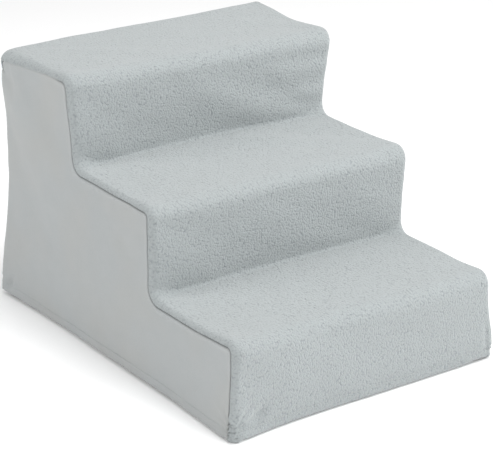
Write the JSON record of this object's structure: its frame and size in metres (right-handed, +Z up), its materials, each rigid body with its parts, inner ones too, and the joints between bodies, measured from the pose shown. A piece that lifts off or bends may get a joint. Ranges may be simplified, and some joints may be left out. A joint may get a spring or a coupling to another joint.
{
  "type": "covered pet stair",
  "caption": "Low indoor pet stair: a snap-together plastic frame with treads and risers under a one-piece plush fabric cover that lifts off.",
  "frame": {"origin": "on the floor, at the middle of the footprint", "axes": "+X to the right for a pet that climbs the stair, +Y to the rear, towards the high end, +Z up"},
  "size_m": [0.35, 0.4564, 0.3055],
  "materials": {
    "frame_plastic": "moulded polypropylene, fine texture",
    "foot_rubber": "matte",
    "cover_sherpa": "nubby berber fleece",
    "cover_short_pile": "short brushed pile",
    "strap_elastic": "woven elastic"
  },
  "bodies": {
    "frame": {"side_panel_left": "frame_plastic", "side_panel_right": "frame_plastic", "tread_lower": "frame_plastic", "tread_middle": "frame_plastic", "tread_upper": "frame_plastic", "riser_lower": "frame_plastic", "riser_middle": "frame_plastic", "riser_upper": "frame_plastic", "back_panel": "frame_plastic", "front_tie": "frame_plastic", "rear_tie": "frame_plastic", "foot_front_left": "foot_rubber", "foot_front_right": "foot_rubber", "foot_middle_left": "foot_rubber", "foot_middle_right": "foot_rubber", "foot_rear_left": "foot_rubber", "foot_rear_right": "foot_rubber"},
    "cover": {"cover_step_panel": "cover_sherpa", "cover_side_left": "cover_short_pile", "cover_side_right": "cover_short_pile", "cover_back": "cover_short_pile", "strap_front_left": "strap_elastic", "strap_front_right": "strap_elastic", "strap_rear_left": "strap_elastic", "strap_rear_right": "strap_elastic"}
  },
  "joints": [
    {"name": "cover_lift", "type": "slide", "parent": "frame", "child": "cover", "axis": [0, 0, 1], "range_m": [0, 0.33], "deforming": ["strap_front_left", "strap_front_right", "strap_rear_left", "strap_rear_right"]}
  ]
}
